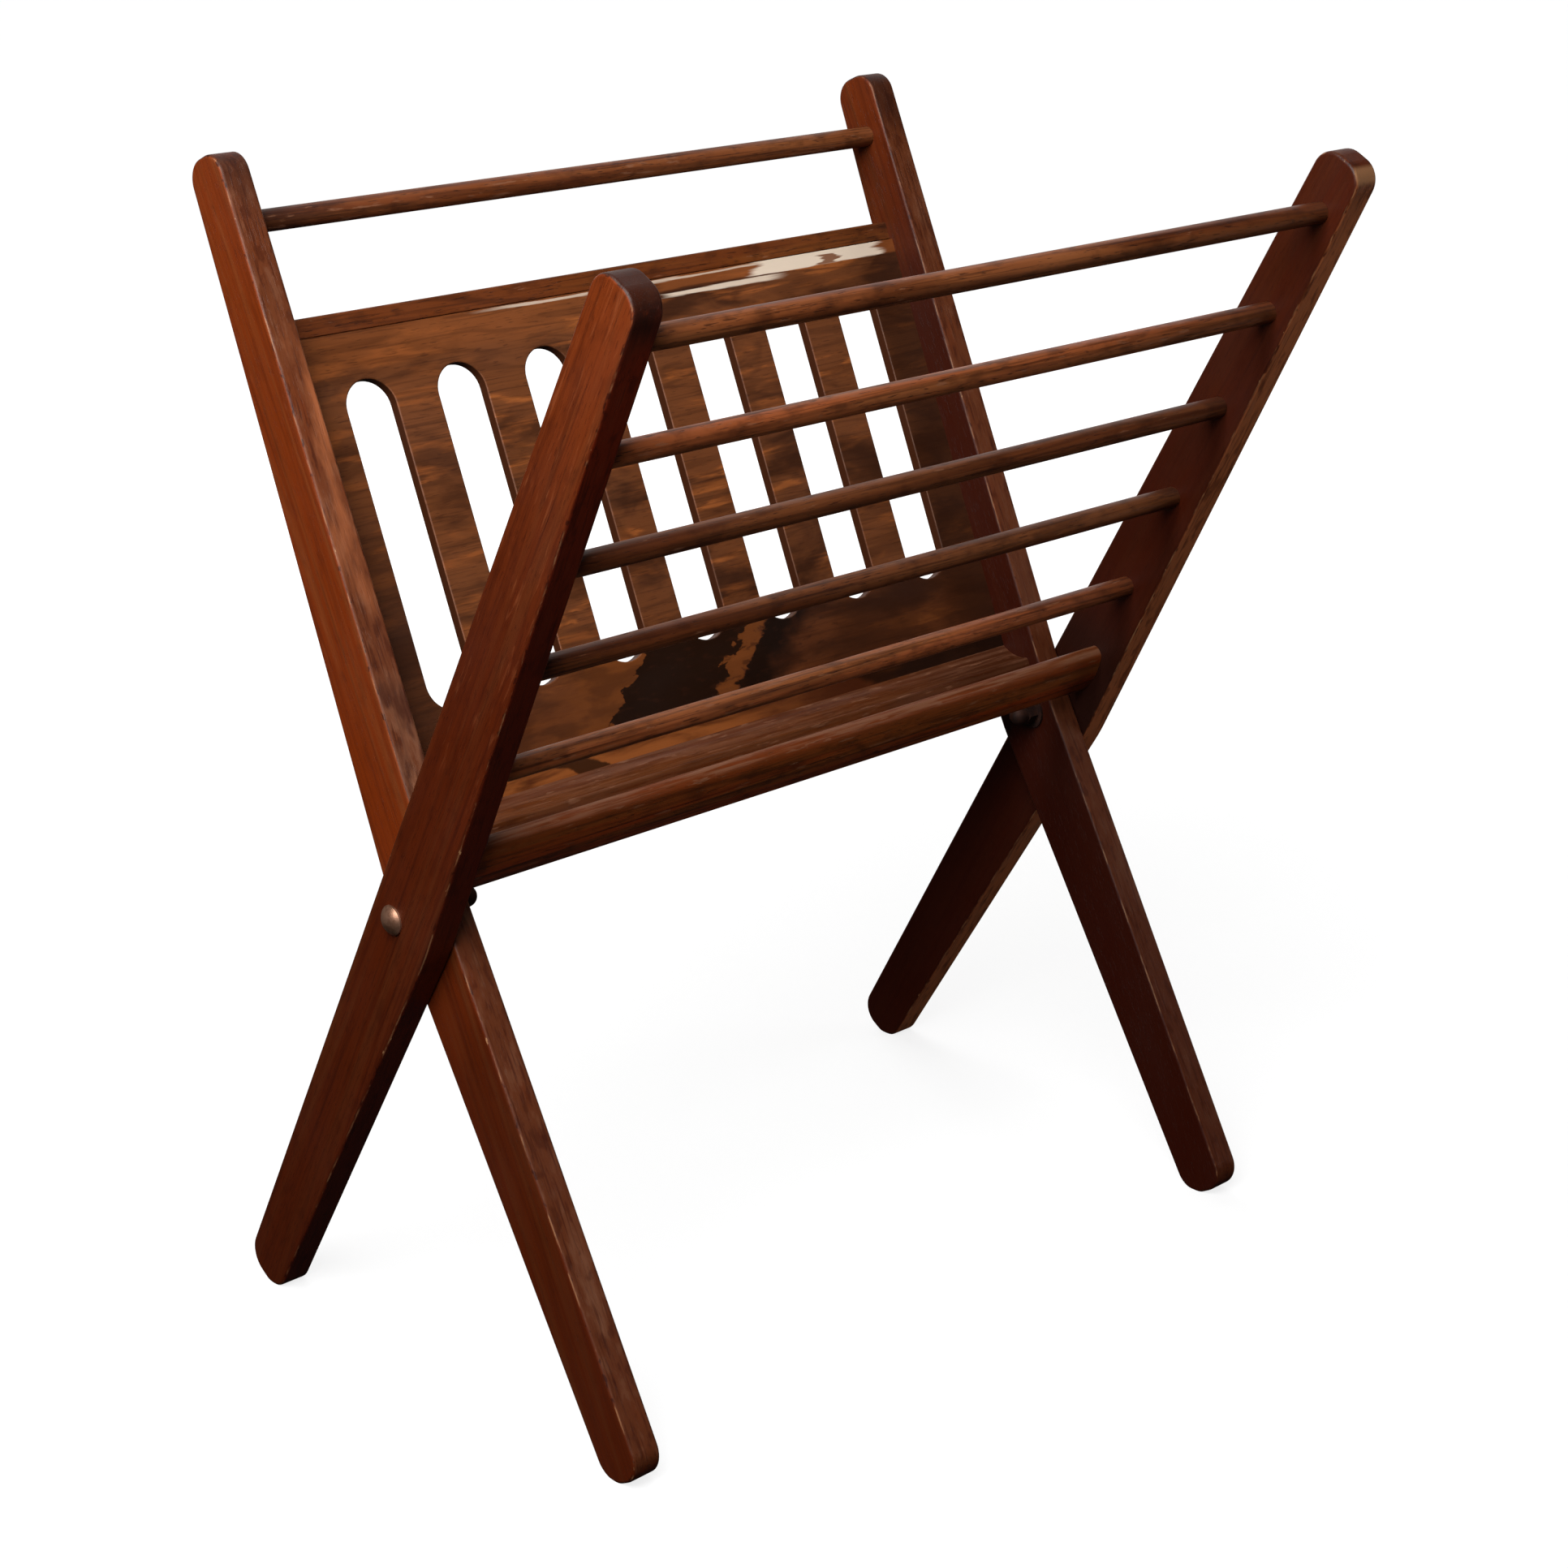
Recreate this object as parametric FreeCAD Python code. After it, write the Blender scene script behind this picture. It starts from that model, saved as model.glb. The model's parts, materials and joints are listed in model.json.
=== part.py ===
import FreeCAD, Part
import math
import os

from FreeCAD import Vector

# Folding magazine rack: two leaning wooden frames crossed on a pair of pivot bolts.
# Millimetres, +Z up, +X along the pivot axis, the front frame's top leans towards -Y.

# Stiles
frame_width = 407.0          # over the outer faces of the front frame's stiles
stile_thickness = 14.0
stile_width = 37.8           # at the pivot
stile_top_width = 24.5
stile_foot_width = 26.0
stile_gap = 0.5              # between a front stile and the rear stile inside it
stile_edge_ease = 1.5        # rounded long edges
top_corner_radius = 10.0
foot_corner_radius = 11.5
bend_radius = 120.0          # soft bend of the long edges beside the pivot
foot_wear = 0.8              # worn off the round foot ends, which leaves flats on the floor
pivot_height = 218.0         # pivot axis above the floor

# Lean of each frame from the vertical, in degrees
front_upper_lean_deg = 28.4
front_lower_lean_deg = 31.1
rear_upper_lean_deg = 22.9
rear_lower_lean_deg = 30.3

# Along each stile, from the pivot axis
front_top_length = 323.5
rear_top_length = 319.5
front_pivot_setback = 13.6   # pivot axis to the edge that faces the magazines
rear_pivot_setback = 14.8

# Round dowels
dowel_diameter = 9.5
dowel_hole_depth = 9.0
dowel_fit = 0.05             # radial glue clearance
front_dowel_count = 5
front_dowel_drop = 26.3      # highest front dowel below the stile's top end
front_dowel_pitch = 52.7
lowest_dowel_gap = 55.1      # between the two lowest front dowels
front_dowel_setback = 1.5    # forward of the stile's middle line
rear_dowel_drop = 29.0       # below the stile's top end

# Front bottom rail
rail_bottom = 20.8           # along the front stile from the pivot axis
rail_height = 25.0
rail_thickness = 8.0
rail_setback = 10.6          # behind the line of the front edge at the pivot
rail_belly = 2.5             # round of the front face, from its edges to its middle
rail_belly_radius = 28.0
rail_nose_radius = 5.0       # upper front edge
rail_back_radius = 2.0       # upper rear edge
rail_heel_radius = 4.0       # lower rear edge, which clears the rear stiles
rail_toe_radius = 2.0        # lower front edge

# Slotted panel
panel_thickness = 5.0
panel_front_depth = 2.0      # panel face behind the rear stiles' middle line
panel_bottom = 12.5          # along the rear stile from the pivot axis
carrying_gap = 50.5          # panel's top edge below the rear dowel's axis
panel_groove_depth = 5.0     # into each rear stile
panel_fit = 0.05
slot_count = 7
slot_pitch = 46.8
slot_width = 24.6
slot_foot_margin = 63.4      # panel below the slots
slot_head_margin = 20.6      # panel above the slots
slot_edge_ease = 0.8

# Panel top rail
top_rail_joint = 0.5         # open joint between the panel's top edge and the rail
top_rail_lip = 8.6           # rail above that joint
top_rail_lap = 15.0          # rail behind the panel
top_rail_thickness = 9.0
top_rail_step = 1.5          # rail's face behind the panel's face
top_rail_ease = 1.2
top_rail_arris = 0.4         # edges of the rebate

# Panel bottom rail, whose coved top is the trough's floor
floor_bottom = 13.5          # along the rear stile from the pivot axis
floor_back_top = 34.7
floor_front_top = 26.2
floor_depth = 13.7
floor_cove_sag = 2.0
floor_ease = 1.5

# Wooden pins between rails and stiles
pin_fit = 0.05               # radial glue clearance
pin_seat = 8.0               # depth in the stile
pin_reach = 16.0             # depth in the rail
rail_pin_diameter = 4.0
rail_pin_inset = 7.0         # from the rail's lower and upper edges
top_pin_diameter = 3.5
top_pin_inset = 6.0
floor_pin_diameter = 6.0
floor_pin_rise = (4.5, 12.0)     # above the bottom rail's underside
floor_pin_depth = (4.2, 9.6)     # behind the bottom rail's front face

# Pivot bolts
bolt_diameter = 6.0
bolt_fit = 0.05              # radial running clearance in wood and nut
bolt_head_diameter = 13.0
bolt_head_height = 4.0
bolt_head_rim = 0.8
bolt_end_gap = 1.0           # bolt's end to the bottom of the nut's blind hole
washer_diameter = 16.0
washer_hole = 6.4
nut_washer_thickness = 1.2
nut_across_flats = 10.0
nut_hex_height = 5.0
nut_dome_diameter = 9.4
nut_height = 12.0
nut_hole_depth = 9.0

SMALL_TURN = math.radians(1.0)
NEAR = 0.05
FAR = 4.0 * (front_top_length + pivot_height)

frame_half = frame_width / 2
front_inner = frame_half - stile_thickness
rear_outer = front_inner - stile_gap
rear_inner = rear_outer - stile_thickness


class Side:
    """A frame seen from the side: where its lines run about the pivot axis."""

    def __init__(self, lean_sign, upper_deg, lower_deg, pivot_setback, top_length):
        self.upper = self.axes(lean_sign, upper_deg)
        self.lower = self.axes(lean_sign, lower_deg)
        self.lower_lean = math.radians(lower_deg)
        self.setback = pivot_setback
        self.top_length = top_length
        self.middle = pivot_setback - stile_width / 2

    def axes(self, lean_sign, lean_deg):
        """Unit vectors up along the stile and across it towards the magazines."""
        angle = math.radians(lean_deg)
        along = Vector(0, lean_sign * math.sin(angle), math.cos(angle))
        across = Vector(0, -lean_sign * math.cos(angle), math.sin(angle))
        return along, across

    def above(self, along, across):
        """Point above the pivot, from distances along the stile and across it."""
        return self.upper[0] * along + self.upper[1] * across

    def below(self, along, across):
        """Point below the pivot, from distances down the leg and across it."""
        return self.lower[1] * across - self.lower[0] * along

    def leg_length(self):
        """Leg end that brings the round foot to the floor, with the worn part past it."""
        reach = stile_foot_width / 2 - foot_corner_radius
        drop = pivot_height + foot_wear - foot_corner_radius
        drop += (self.middle - reach) * math.sin(self.lower_lean)
        return foot_corner_radius + drop / math.cos(self.lower_lean)

    def outline(self):
        """Closed outline of the stile in the YZ plane: tapered both ways from the pivot."""
        across = self.upper[1] + self.lower[1]
        across.normalize()
        leg = self.leg_length()
        half_top = stile_top_width / 2
        half_foot = stile_foot_width / 2
        corners = (
            (self.below(leg, self.middle + half_foot), foot_corner_radius),
            (across * self.setback, bend_radius),
            (self.above(self.top_length, self.middle + half_top), top_corner_radius),
            (self.above(self.top_length, self.middle - half_top), top_corner_radius),
            (across * (self.setback - stile_width), bend_radius),
            (self.below(leg, self.middle - half_foot), foot_corner_radius),
        )
        return rounded_wire(corners)


def rounded_wire(corners):
    """Closed wire through (point, radius) corners, with an arc at each real corner."""
    spans = []
    for index, (point, radius) in enumerate(corners):
        to_last = corners[index - 1][0] - point
        to_next = corners[(index + 1) % len(corners)][0] - point
        half = to_last.getAngle(to_next) / 2
        if math.pi - 2 * half < SMALL_TURN:
            continue
        to_last.normalize()
        to_next.normalize()
        middle = to_last + to_next
        middle.normalize()
        trim = radius / math.tan(half)
        rise = radius / math.sin(half) - radius
        spans.append((point + to_last * trim, point + middle * rise, point + to_next * trim))
    edges = []
    for index, (start, middle, end) in enumerate(spans):
        edges.append(Part.Arc(start, middle, end).toShape())
        edges.append(Part.LineSegment(end, spans[(index + 1) % len(spans)][0]).toShape())
    return Part.Wire(edges)


def extrude_x(wire, start, end):
    """Solid between two X planes from a wire in the YZ plane."""
    face = Part.Face(wire)
    face.translate(Vector(start, 0, 0))
    return face.extrude(Vector(end - start, 0, 0))


def ease(solid, radius, start, end):
    """Rounds the edges around the two end faces of a solid made along X."""
    rims = []
    for edge in solid.Edges:
        box = edge.BoundBox
        if box.XLength < NEAR and min(abs(box.XMin - start), abs(box.XMin - end)) < NEAR:
            rims.append(edge)
    return solid.makeFillet(radius, rims)


def rod(diameter, start, end, centre):
    """Round bar along X between two X places, through a point of the YZ plane."""
    low = min(start, end)
    base = Vector(low, centre.y, centre.z)
    return Part.makeCylinder(diameter / 2, abs(end - start), base, Vector(1, 0, 0))


def bored(solid, tools):
    """The solid without the given tool shapes."""
    return solid.cut(Part.makeCompound(tools))


def pin_bores(places, diameter, hand, face):
    """Holes for one end's pins, from a stile's inner face both into stile and rail."""
    bore = diameter + 2 * pin_fit
    seat = hand * (face + pin_seat)
    reach = hand * (face - pin_reach)
    return [rod(bore, reach, seat, place) for place in places]


def pin_set(places, diameter, face):
    """The wooden pins at both ends of a rail."""
    pins = []
    for hand in (-1, 1):
        seat = hand * (face + pin_seat)
        reach = hand * (face - pin_reach)
        pins += [rod(diameter, reach, seat, place) for place in places]
    return Part.makeCompound(pins)


front = Side(
    -1, front_upper_lean_deg, front_lower_lean_deg, front_pivot_setback, front_top_length
)
rear = Side(1, rear_upper_lean_deg, rear_lower_lean_deg, rear_pivot_setback, rear_top_length)
pivot = Vector(0, 0, 0)

# Places of the dowels, rails and pins in the YZ plane
front_dowels = []
dowel_along = front_top_length - front_dowel_drop
for number in range(front_dowel_count):
    front_dowels.append(front.above(dowel_along, front.middle - front_dowel_setback))
    above_lowest = number == front_dowel_count - 2
    dowel_along -= lowest_dowel_gap if above_lowest else front_dowel_pitch
rear_dowel_along = rear_top_length - rear_dowel_drop
rear_dowel = rear.above(rear_dowel_along, rear.middle)

rail_front = front_pivot_setback - stile_width + rail_setback
rail_back = rail_front + rail_thickness
rail_top = rail_bottom + rail_height
rail_pins = []
for pin_along in (rail_bottom + rail_pin_inset, rail_top - rail_pin_inset):
    rail_pins.append(front.above(pin_along, (rail_front + rail_back) / 2))

panel_top = rear_dowel_along - carrying_gap
slot_bottom = panel_bottom + slot_foot_margin
slot_top = panel_top - slot_head_margin
panel_front = rear.middle - panel_front_depth
panel_back = panel_front - panel_thickness

top_rail_front = panel_front - top_rail_step
top_rail_back = top_rail_front - top_rail_thickness
top_rail_foot = panel_top + top_rail_joint
top_rail_top = top_rail_foot + top_rail_lip
top_rail_bottom = panel_top - top_rail_lap
top_pins = []
for pin_along in (top_rail_bottom + top_pin_inset, top_rail_top - top_pin_inset):
    top_pins.append(rear.above(pin_along, (panel_back + top_rail_back) / 2))

floor_front = panel_front + floor_depth
floor_pins = []
for pin_rise, pin_depth in zip(floor_pin_rise, floor_pin_depth):
    floor_pins.append(rear.above(floor_bottom + pin_rise, floor_front - pin_depth))


def stile_blank(side, start, end):
    """A stile with eased edges and a flat worn on its foot."""
    blank = ease(extrude_x(side.outline(), start, end), stile_edge_ease, start, end)
    ground = Part.makeBox(FAR, FAR, FAR, Vector(-FAR / 2, -FAR / 2, -FAR - pivot_height))
    return blank.cut(ground)


def front_stile(hand):
    start, end = sorted((hand * front_inner, hand * frame_half))
    bores = [rod(bolt_diameter + 2 * bolt_fit, start, end, pivot)]
    for place in front_dowels:
        seat = hand * (front_inner + dowel_hole_depth)
        bores.append(rod(dowel_diameter + 2 * dowel_fit, hand * front_inner, seat, place))
    bores += pin_bores(rail_pins, rail_pin_diameter, hand, front_inner)
    return bored(stile_blank(front, start, end), bores)


def rear_stile(hand):
    start, end = sorted((hand * rear_inner, hand * rear_outer))
    bores = [rod(bolt_diameter + 2 * bolt_fit, start, end, pivot)]
    seat = hand * (rear_inner + dowel_hole_depth)
    bores.append(rod(dowel_diameter + 2 * dowel_fit, hand * rear_inner, seat, rear_dowel))
    bores += pin_bores(top_pins, top_pin_diameter, hand, rear_inner)
    bores += pin_bores(floor_pins, floor_pin_diameter, hand, rear_inner)
    groove_end = hand * (rear_inner + panel_groove_depth + panel_fit)
    groove = Part.makePolygon((
        rear.above(panel_bottom - panel_fit, panel_front + panel_fit),
        rear.above(panel_top + panel_fit, panel_front + panel_fit),
        rear.above(panel_top + panel_fit, panel_back - panel_fit),
        rear.above(panel_bottom - panel_fit, panel_back - panel_fit),
        rear.above(panel_bottom - panel_fit, panel_front + panel_fit),
    ))
    bores.append(extrude_x(groove, hand * rear_inner, groove_end))
    return bored(stile_blank(rear, start, end), bores)


def front_rail():
    """Bull-nosed rail between the front stiles, just above the pivot."""
    edge = rail_front + rail_belly / 2
    belly = rail_front - rail_belly / 2
    profile = rounded_wire((
        (front.above(rail_bottom, edge), rail_toe_radius),
        (front.above(rail_bottom, rail_back), rail_heel_radius),
        (front.above(rail_top, rail_back), rail_back_radius),
        (front.above(rail_top, edge), rail_nose_radius),
        (front.above((rail_bottom + rail_top) / 2, belly), rail_belly_radius),
    ))
    bores = []
    for hand in (-1, 1):
        bores += pin_bores(rail_pins, rail_pin_diameter, hand, front_inner)
    return bored(extrude_x(profile, -front_inner, front_inner), bores)


def top_rail():
    """Rebated rail: a lip above the panel and a lap behind it."""
    corners = (
        (top_rail_top, top_rail_front, top_rail_ease),
        (top_rail_top, top_rail_back, top_rail_ease),
        (top_rail_bottom, top_rail_back, top_rail_ease),
        (top_rail_bottom, panel_back, top_rail_arris),
        (top_rail_foot, panel_back, top_rail_arris),
        (top_rail_foot, top_rail_front, top_rail_arris),
    )
    profile = rounded_wire([(rear.above(along, across), radius) for along, across, radius in corners])
    bores = []
    for hand in (-1, 1):
        bores += pin_bores(top_pins, top_pin_diameter, hand, rear_inner)
    return bored(extrude_x(profile, -rear_inner, rear_inner), bores)


def floor_rail():
    """Rail in front of the panel's lower end; its coved top is the trough's floor."""
    back_top = rear.above(floor_back_top, panel_front)
    front_top = rear.above(floor_front_top, floor_front)
    front_low = rear.above(floor_bottom, floor_front)
    back_low = rear.above(floor_bottom, panel_front)
    sunk = (back_top - front_top).cross(Vector(1, 0, 0))
    sunk.normalize()
    cove = (back_top + front_top) * 0.5 + sunk * floor_cove_sag
    edges = (
        Part.LineSegment(front_top, front_low),
        Part.LineSegment(front_low, back_low),
        Part.LineSegment(back_low, back_top),
        Part.Arc(back_top, cove, front_top),
    )
    profile = Part.Wire([edge.toShape() for edge in edges])
    blank = extrude_x(profile, -rear_inner, rear_inner)
    fronts = []
    for edge in blank.Edges:
        centre = edge.BoundBox.Center
        if (centre - front_top).Length < NEAR:
            fronts.append(edge)
    bores = []
    for hand in (-1, 1):
        bores += pin_bores(floor_pins, floor_pin_diameter, hand, rear_inner)
    return bored(blank.makeFillet(floor_ease, fronts), bores)


def slotted_panel():
    """Plywood back with a row of round-ended slots, its edges in the rear stiles' grooves."""
    half = rear_inner + panel_groove_depth
    across_x = Vector(1, 0, 0)
    outer = Part.makePolygon((
        across_x * -half + rear.above(panel_bottom, panel_front),
        across_x * half + rear.above(panel_bottom, panel_front),
        across_x * half + rear.above(panel_top, panel_front),
        across_x * -half + rear.above(panel_top, panel_front),
        across_x * -half + rear.above(panel_bottom, panel_front),
    ))
    slots = []
    for number in range(slot_count):
        slots.append(slot_wire(across_x * ((number - (slot_count - 1) / 2) * slot_pitch)))
    back = rear.upper[1] * -panel_thickness
    sheet = Part.Face(outer).extrude(back)
    sheet = bored(sheet, [Part.Face(slot).extrude(back) for slot in slots])
    rims = []
    for edge in sheet.Edges:
        box = edge.BoundBox
        height = (box.Center - rear.above(0, panel_front)).dot(rear.upper[1])
        inside = box.XMax < rear_inner and box.XMin > -rear_inner
        if inside and abs(height) < NEAR:
            rims.append(edge)
    return sheet.makeFillet(slot_edge_ease, rims)


def slot_wire(shift):
    """Round-ended slot on the panel's face: two straight sides and two half circles."""
    radius = slot_width / 2
    side = Vector(radius, 0, 0)
    tip = rear.upper[0] * radius
    low = shift + rear.above(slot_bottom + radius, panel_front)
    high = shift + rear.above(slot_top - radius, panel_front)
    edges = (
        Part.LineSegment(low + side, high + side),
        Part.Arc(high + side, high + tip, high - side),
        Part.LineSegment(high - side, low - side),
        Part.Arc(low - side, low - tip, low + side),
    )
    return Part.Wire([edge.toShape() for edge in edges])


def pivot_bolt(hand):
    """Mushroom-headed bolt from a front stile's outer face to the nut inside."""
    seat = frame_half
    end = rear_inner - nut_washer_thickness - nut_hole_depth + bolt_end_gap
    shank = rod(bolt_diameter, hand * seat, hand * end, pivot)
    head_radius = bolt_head_diameter / 2
    rim = Vector(seat + bolt_head_rim, head_radius, 0)
    crown = Vector(seat + bolt_head_height, 0, 0)
    rise = bolt_head_height - bolt_head_rim
    sphere = (head_radius ** 2 + rise ** 2) / (2 * rise)
    angle = math.asin(head_radius / sphere) / 2
    shoulder = Vector(crown.x - sphere + sphere * math.cos(angle), sphere * math.sin(angle), 0)
    edges = (
        Part.LineSegment(Vector(seat, 0, 0), Vector(seat, head_radius, 0)),
        Part.LineSegment(Vector(seat, head_radius, 0), rim),
        Part.Arc(rim, shoulder, crown),
        Part.LineSegment(crown, Vector(seat, 0, 0)),
    )
    face = Part.Face(Part.Wire([edge.toShape() for edge in edges]))
    head = face.revolve(pivot, Vector(1, 0, 0), 360)
    if hand < 0:
        head = head.mirror(pivot, Vector(1, 0, 0))
    return head.fuse(shank).removeSplitter()


def washer(hand, start, thickness):
    """Flat washer on the pivot axis, from one X place inwards."""
    ring = rod(washer_diameter, hand * start, hand * (start - thickness), pivot)
    return ring.cut(rod(washer_hole, hand * start, hand * (start - thickness), pivot))


def cap_nut(hand):
    """Domed hexagon nut against the inner washer, with a blind hole for the bolt."""
    seat = rear_inner - nut_washer_thickness
    corner = nut_across_flats / 2 / math.cos(math.pi / 6)
    points = []
    for step in range(7):
        angle = step * math.pi / 3
        points.append(Vector(0, corner * math.cos(angle), corner * math.sin(angle)))
    hexagon = extrude_x(Part.makePolygon(points), hand * seat, hand * (seat - nut_hex_height))
    dome_radius = nut_dome_diameter / 2
    dome_seat = seat - nut_height + dome_radius
    barrel = rod(nut_dome_diameter, hand * seat, hand * dome_seat, pivot)
    dome = Part.makeSphere(dome_radius, Vector(hand * dome_seat, 0, 0))
    solid = hexagon.fuse(barrel).fuse(dome).removeSplitter()
    return solid.cut(rod(bolt_diameter + 2 * bolt_fit, hand * seat, hand * (seat - nut_hole_depth), pivot))


def front_dowel(place):
    reach = front_inner + dowel_hole_depth
    return rod(dowel_diameter, -reach, reach, place)


def rear_top_dowel():
    reach = rear_inner + dowel_hole_depth
    return rod(dowel_diameter, -reach, reach, rear_dowel)


pieces = {
    "front_bottom_rail": front_rail(),
    "front_rail_pins": pin_set(rail_pins, rail_pin_diameter, front_inner),
    "rear_top_dowel": rear_top_dowel(),
    "panel_top_rail": top_rail(),
    "top_rail_pins": pin_set(top_pins, top_pin_diameter, rear_inner),
    "slotted_panel": slotted_panel(),
    "panel_bottom_rail": floor_rail(),
    "bottom_rail_pins": pin_set(floor_pins, floor_pin_diameter, rear_inner),
}
for number, place in enumerate(front_dowels, 1):
    pieces[f"front_dowel_{number}"] = front_dowel(place)
for hand, name in ((-1, "left"), (1, "right")):
    pieces[f"front_stile_{name}"] = front_stile(hand)
    pieces[f"rear_stile_{name}"] = rear_stile(hand)
    pieces[f"pivot_bolt_{name}"] = pivot_bolt(hand)
    pieces[f"spacer_washer_{name}"] = washer(hand, front_inner, stile_gap)
    pieces[f"nut_washer_{name}"] = washer(hand, rear_inner, nut_washer_thickness)
    pieces[f"cap_nut_{name}"] = cap_nut(hand)

# The origin is on the floor, under the middle of the whole rack.
whole = FreeCAD.BoundBox()
for shape in pieces.values():
    whole.add(shape.optimalBoundingBox(False))
lift = Vector(-whole.Center.x, -whole.Center.y, pivot_height)

os.makedirs("parts", exist_ok=True)
for name, shape in pieces.items():
    shape.translate(lift)
    shape.exportStep(f"parts/{name}.step")
print(f"{len(pieces)} pieces, pivot axis at y {lift.y:.4f}, z {lift.z:.4f}")
print(f"size {whole.XLength:.1f} x {whole.YLength:.1f} x {whole.ZLength:.1f}")
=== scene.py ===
import json
import math

import bpy
from bpy.props import FloatProperty, FloatVectorProperty, PointerProperty
from mathutils import Matrix, Vector

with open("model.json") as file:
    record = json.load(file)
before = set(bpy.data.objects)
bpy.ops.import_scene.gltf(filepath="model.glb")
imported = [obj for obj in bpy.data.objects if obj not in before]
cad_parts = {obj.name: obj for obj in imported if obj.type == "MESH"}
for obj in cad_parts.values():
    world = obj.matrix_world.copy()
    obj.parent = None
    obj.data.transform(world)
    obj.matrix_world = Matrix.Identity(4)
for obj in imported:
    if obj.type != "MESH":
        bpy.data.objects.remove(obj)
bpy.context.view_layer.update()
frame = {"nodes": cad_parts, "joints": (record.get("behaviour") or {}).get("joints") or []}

bl_info = {
    "name": "Folding Magazine Rack",
    "version": (1, 0, 0),
    "blender": (4, 5, 0),
    "location": "View3D > Sidebar > Rack",
    "description": "Finishes, light and camera for a folding magazine rack",
    "category": "Object",
}

MM = 0.001
PIVOT = Vector(frame["joints"][0]["pos_m"])
# How far each frame's stiles lean from upright, as a turn about the rack's width.
FRONT_LEAN = math.radians(-29.7)
REAR_LEAN = math.radians(26.5)
PANEL_LEAN = math.radians(22.9)
# The axis of a laid-out place that the grain runs along.
ALONG_WIDTH = 0
ALONG_LENGTH = 2
WHITE = (1.0, 1.0, 1.0, 1.0)


def linear(code):
    """Turns an sRGB hex colour to the linear values that Blender works in."""
    parts = [int(code[start:start + 2], 16) / 255 for start in (1, 3, 5)]
    return [p / 12.92 if p <= 0.04045 else ((p + 0.055) / 1.055) ** 2.4 for p in parts]


def tone(name, description, code):
    """Describes one colour that a user can change."""
    return FloatVectorProperty(
        name=name, description=description, default=linear(code), subtype="COLOR", min=0.0, max=1.0)


def length(name, description, millimetres):
    """Describes one size that a user can change."""
    return FloatProperty(
        name=name, description=description, default=millimetres * MM, unit="LENGTH", min=0.0,
        precision=5)


def angle(name, description, degrees):
    """Describes one turn of the camera that a user can change."""
    return FloatProperty(
        name=name, description=description, default=math.radians(degrees), subtype="ANGLE")


def power(name, description, watts):
    """Describes one light's power that a user can change."""
    return FloatProperty(name=name, description=description, default=watts, unit="POWER", min=0.0)


class RackFigure(bpy.types.PropertyGroup):
    """Sizes of the figure in the wood."""

    fibre_width: length(
        "Fibre width", "Width of the fine fibres, coarser than real so that they show", 0.9)
    fibre_length: length("Fibre length", "Length of the fine fibres", 38.0)
    streak_width: length("Streak width", "Width of the dark streaks between growth rings", 2.4)
    streak_length: length("Streak length", "Length of the dark streaks", 95.0)
    band_width: length("Band width", "Width of the broad growth bands", 8.0)
    band_length: length("Band length", "Length of the broad growth bands", 230.0)
    pore_width: length(
        "Pore width", "Width of the open pores, coarser than real so that they show", 0.6)
    pore_length: length("Pore length", "Length of the open pores", 7.0)
    blotch: length("Blotches", "Size of the blotches where stain and dirt have gathered", 7.0)
    relief: length("Relief", "Depth of the grain that is felt through the varnish", 0.12)


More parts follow.
